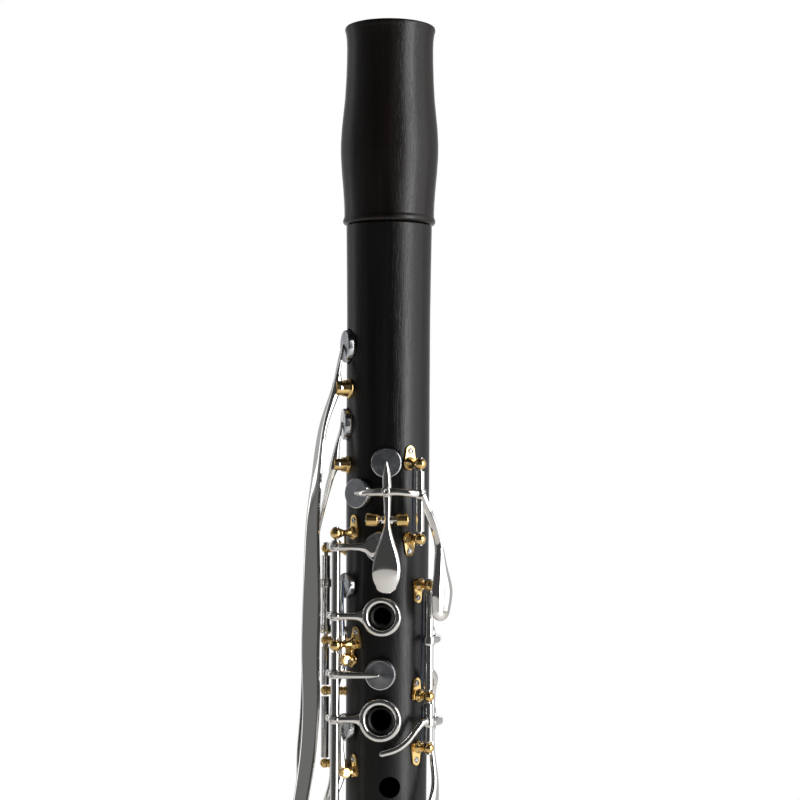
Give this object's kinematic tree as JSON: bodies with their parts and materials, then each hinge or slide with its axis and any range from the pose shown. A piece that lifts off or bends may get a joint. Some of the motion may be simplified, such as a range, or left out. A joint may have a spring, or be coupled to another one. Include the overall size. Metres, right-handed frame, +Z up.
{
  "type": "clarinet",
  "caption": "Boehm-system soprano clarinet without mouthpiece: wooden barrel, two joints and bell, with ring keys, side trill keys, levers, pads and posts on hinge rods.",
  "frame": {"origin": "centre of the bell rim, on the bore axis, where the bell stands", "axes": "+Z up the bore from the bell to the barrel; -Y is the front, where the finger holes are; +X is to the right of a viewer facing the front"},
  "size_m": [0.079, 0.079, 0.592],
  "materials": {
    "black_wood": "oiled matt",
    "dark_wood": "oiled satin",
    "silver_plate": "polished silver plate",
    "gold_plate": "polished gold plate",
    "cork": "waxed cork",
    "pad_skin": "matt skin over felt"
  },
  "bodies": {
    "body": {"bell": "black_wood", "lower_joint": "black_wood", "upper_joint": "black_wood", "bell_cork": "cork", "middle_cork": "cork", "barrel_cork": "cork", "thumb_rest": "silver_plate", "upper_stack_posts": "gold_plate", "gsharp_posts": "gold_plate", "throat_a_posts": "gold_plate", "register_posts": "gold_plate", "right_posts": "gold_plate", "side_key_1_posts": "gold_plate", "side_key_3_post": "gold_plate", "side_key_4_post": "gold_plate", "lower_stack_posts": "gold_plate", "lower_sliver_posts": "gold_plate", "pinky_posts": "gold_plate", "left_lever_posts": "gold_plate"},
    "barrel": {"barrel": "dark_wood"},
    "register_key": {"register_key": "silver_plate", "register_pad": "pad_skin"},
    "throat_a_key": {"throat_a_key": "silver_plate", "throat_a_pad": "pad_skin"},
    "throat_gsharp_key": {"throat_gsharp_key": "silver_plate", "throat_gsharp_pad": "pad_skin"},
    "first_ring_key": {"first_ring_key": "silver_plate", "first_ring_pad": "pad_skin"},
    "second_ring_key": {"second_ring_key": "silver_plate", "second_ring_pad": "pad_skin"},
    "thumb_ring_key": {"thumb_ring_key": "silver_plate", "thumb_ring_pad": "pad_skin"},
    "csharp_key": {"csharp_key": "silver_plate", "csharp_pad": "pad_skin"},
    "eflat_key": {"eflat_key": "silver_plate", "eflat_pad": "pad_skin"},
    "side_key_1": {"side_key_1": "silver_plate", "side_key_1_pad": "pad_skin"},
    "side_key_2": {"side_key_2": "silver_plate", "side_key_2_pad": "pad_skin"},
    "side_key_3": {"side_key_3": "silver_plate", "side_key_3_pad": "pad_skin"},
    "side_key_4": {"side_key_4": "silver_plate", "side_key_4_pad": "pad_skin"},
    "lower_ring_key": {"lower_ring_key": "silver_plate", "lower_ring_pad": "pad_skin"},
    "lower_sliver_key": {"lower_sliver_key": "silver_plate", "lower_sliver_pad": "pad_skin"},
    "aflat_key": {"aflat_key": "silver_plate", "aflat_pad": "pad_skin"},
    "fsharp_key": {"fsharp_key": "silver_plate", "fsharp_pad": "pad_skin"},
    "f_key": {"f_key": "silver_plate", "f_pad": "pad_skin"},
    "e_key": {"e_key": "silver_plate", "e_pad": "pad_skin"},
    "left_fsharp_lever": {"left_fsharp_lever": "silver_plate"},
    "left_f_lever": {"left_f_lever": "silver_plate"},
    "left_e_lever": {"left_e_lever": "silver_plate"}
  },
  "joints": [
    {"name": "barrel_slide", "type": "slide", "parent": "body", "child": "barrel", "axis": [0, 0, 1], "range_m": [0, 0.004]},
    {"name": "register_key_hinge", "type": "hinge", "parent": "body", "child": "register_key", "pos_m": [0, 0.0186, 0.45], "axis": [-1, 0, 0], "range_deg": [0, 3], "stiffness_Nm_per_rad": 0.02, "springref_deg": -17.19},
    {"name": "throat_a_key_hinge", "type": "hinge", "parent": "body", "child": "throat_a_key", "pos_m": [0, -0.0184, 0.4289], "axis": [1, 0, 0], "range_deg": [0, 5], "stiffness_Nm_per_rad": 0.02, "springref_deg": -17.19},
    {"name": "throat_gsharp_key_hinge", "type": "hinge", "parent": "body", "child": "throat_gsharp_key", "pos_m": [0.0105, -0.01819, 0.4348], "axis": [0, 0, 1], "range_deg": [0, 5.5], "stiffness_Nm_per_rad": 0.02, "springref_deg": -17.19},
    {"name": "first_ring_key_hinge", "type": "hinge", "parent": "body", "child": "first_ring_key", "pos_m": [-0.01655, -0.01293, 0.406], "axis": [0, 0, 1], "range_deg": [0, 5], "stiffness_Nm_per_rad": 0.02, "springref_deg": -17.19},
    {"name": "second_ring_key_hinge", "type": "hinge", "parent": "body", "child": "second_ring_key", "pos_m": [-0.01655, -0.01293, 0.357], "axis": [0, 0, 1], "range_deg": [0, 5], "stiffness_Nm_per_rad": 0.02, "springref_deg": -17.19},
    {"name": "thumb_ring_key_hinge", "type": "hinge", "parent": "body", "child": "thumb_ring_key", "pos_m": [-0.02039, 0.0036, 0.4034], "axis": [0, 0, 1], "range_deg": [-5, 0], "stiffness_Nm_per_rad": 0.02, "springref_deg": 17.19},
    {"name": "csharp_key_hinge", "type": "hinge", "parent": "body", "child": "csharp_key", "pos_m": [0.01371, -0.01151, 0.3906], "axis": [0, 0, 1], "range_deg": [-7, 0], "stiffness_Nm_per_rad": 0.02, "springref_deg": 17.19},
    {"name": "eflat_key_hinge", "type": "hinge", "parent": "body", "child": "eflat_key", "pos_m": [0.01371, -0.01151, 0.3633], "axis": [0, 0, 1], "range_deg": [-6, 0], "stiffness_Nm_per_rad": 0.02, "springref_deg": 17.19},
    {"name": "side_key_1_hinge", "type": "hinge", "parent": "body", "child": "side_key_1", "pos_m": [-0.01466, -0.00779, 0.3467], "axis": [0.4695, -0.8829, 0], "range_deg": [0, 7], "stiffness_Nm_per_rad": 0.02, "springref_deg": -17.19},
    {"name": "side_key_2_hinge", "type": "hinge", "parent": "body", "child": "side_key_2", "pos_m": [-0.01466, -0.00779, 0.383], "axis": [0.4695, -0.8829, 0], "range_deg": [0, 5], "stiffness_Nm_per_rad": 0.02, "springref_deg": -17.19},
    {"name": "side_key_3_hinge", "type": "hinge", "parent": "body", "child": "side_key_3", "pos_m": [-0.01674, -0.00576, 0.4465], "axis": [0.3256, -0.9455, 0], "range_deg": [0, 3], "stiffness_Nm_per_rad": 0.02, "springref_deg": -17.19},
    {"name": "side_key_4_hinge", "type": "hinge", "parent": "body", "child": "side_key_4", "pos_m": [-0.01629, -0.00692, 0.4715], "axis": [0.3907, -0.9205, 0], "range_deg": [0, 2], "stiffness_Nm_per_rad": 0.02, "springref_deg": -17.19},
    {"name": "lower_ring_key_hinge", "type": "hinge", "parent": "body", "child": "lower_ring_key", "pos_m": [-0.01655, -0.01293, 0.2625], "axis": [0, 0, 1], "range_deg": [0, 5], "stiffness_Nm_per_rad": 0.02, "springref_deg": -17.19},
    {"name": "lower_sliver_key_hinge", "type": "hinge", "parent": "body", "child": "lower_sliver_key", "pos_m": [0.01371, -0.01151, 0.254], "axis": [0, 0, 1], "range_deg": [-6, 0], "stiffness_Nm_per_rad": 0.02, "springref_deg": 17.19},
    {"name": "aflat_key_hinge", "type": "hinge", "parent": "body", "child": "aflat_key", "pos_m": [-0.00975, -0.01689, 0.209], "axis": [0, 0, 1], "range_deg": [-7, 0], "stiffness_Nm_per_rad": 0.02, "springref_deg": 17.19},
    {"name": "fsharp_key_hinge", "type": "hinge", "parent": "body", "child": "fsharp_key", "pos_m": [-0.01949, 0.00068, 0.2003], "axis": [0, 0, 1], "range_deg": [0, 7], "stiffness_Nm_per_rad": 0.02, "springref_deg": -17.19},
    {"name": "f_key_hinge", "type": "hinge", "parent": "body", "child": "f_key", "pos_m": [-0.01781, 0.00793, 0.18], "axis": [0, 0, 1], "range_deg": [0, 7], "stiffness_Nm_per_rad": 0.02, "springref_deg": -17.19},
    {"name": "e_key_hinge", "type": "hinge", "parent": "body", "child": "e_key", "pos_m": [-0.01355, 0.01403, 0.163], "axis": [0, 0, 1], "range_deg": [0, 7], "stiffness_Nm_per_rad": 0.02, "springref_deg": -17.19},
    {"name": "left_fsharp_lever_hinge", "type": "hinge", "parent": "body", "child": "left_fsharp_lever", "pos_m": [0.00975, 0.01689, 0.258], "axis": [0, 0, 1], "range_deg": [-7, 0], "stiffness_Nm_per_rad": 0.02, "springref_deg": 17.19},
    {"name": "left_f_lever_hinge", "type": "hinge", "parent": "body", "child": "left_f_lever", "pos_m": [0.01537, 0.01201, 0.251], "axis": [0, 0, 1], "range_deg": [-7.6, 0], "stiffness_Nm_per_rad": 0.02, "springref_deg": 17.19},
    {"name": "left_e_lever_hinge", "type": "hinge", "parent": "body", "child": "left_e_lever", "pos_m": [0.01875, 0.00537, 0.246], "axis": [0, 0, 1], "range_deg": [-8.3, 0], "stiffness_Nm_per_rad": 0.02, "springref_deg": 17.19}
  ],
  "couplings": [
    {"joint": "first_ring_key_hinge", "follows": "thumb_ring_key_hinge", "ratio": -1},
    {"joint": "left_fsharp_lever_hinge", "follows": "fsharp_key_hinge", "ratio": -1},
    {"joint": "left_f_lever_hinge", "follows": "f_key_hinge", "ratio": -1.08},
    {"joint": "left_e_lever_hinge", "follows": "e_key_hinge", "ratio": -1.18}
  ]
}
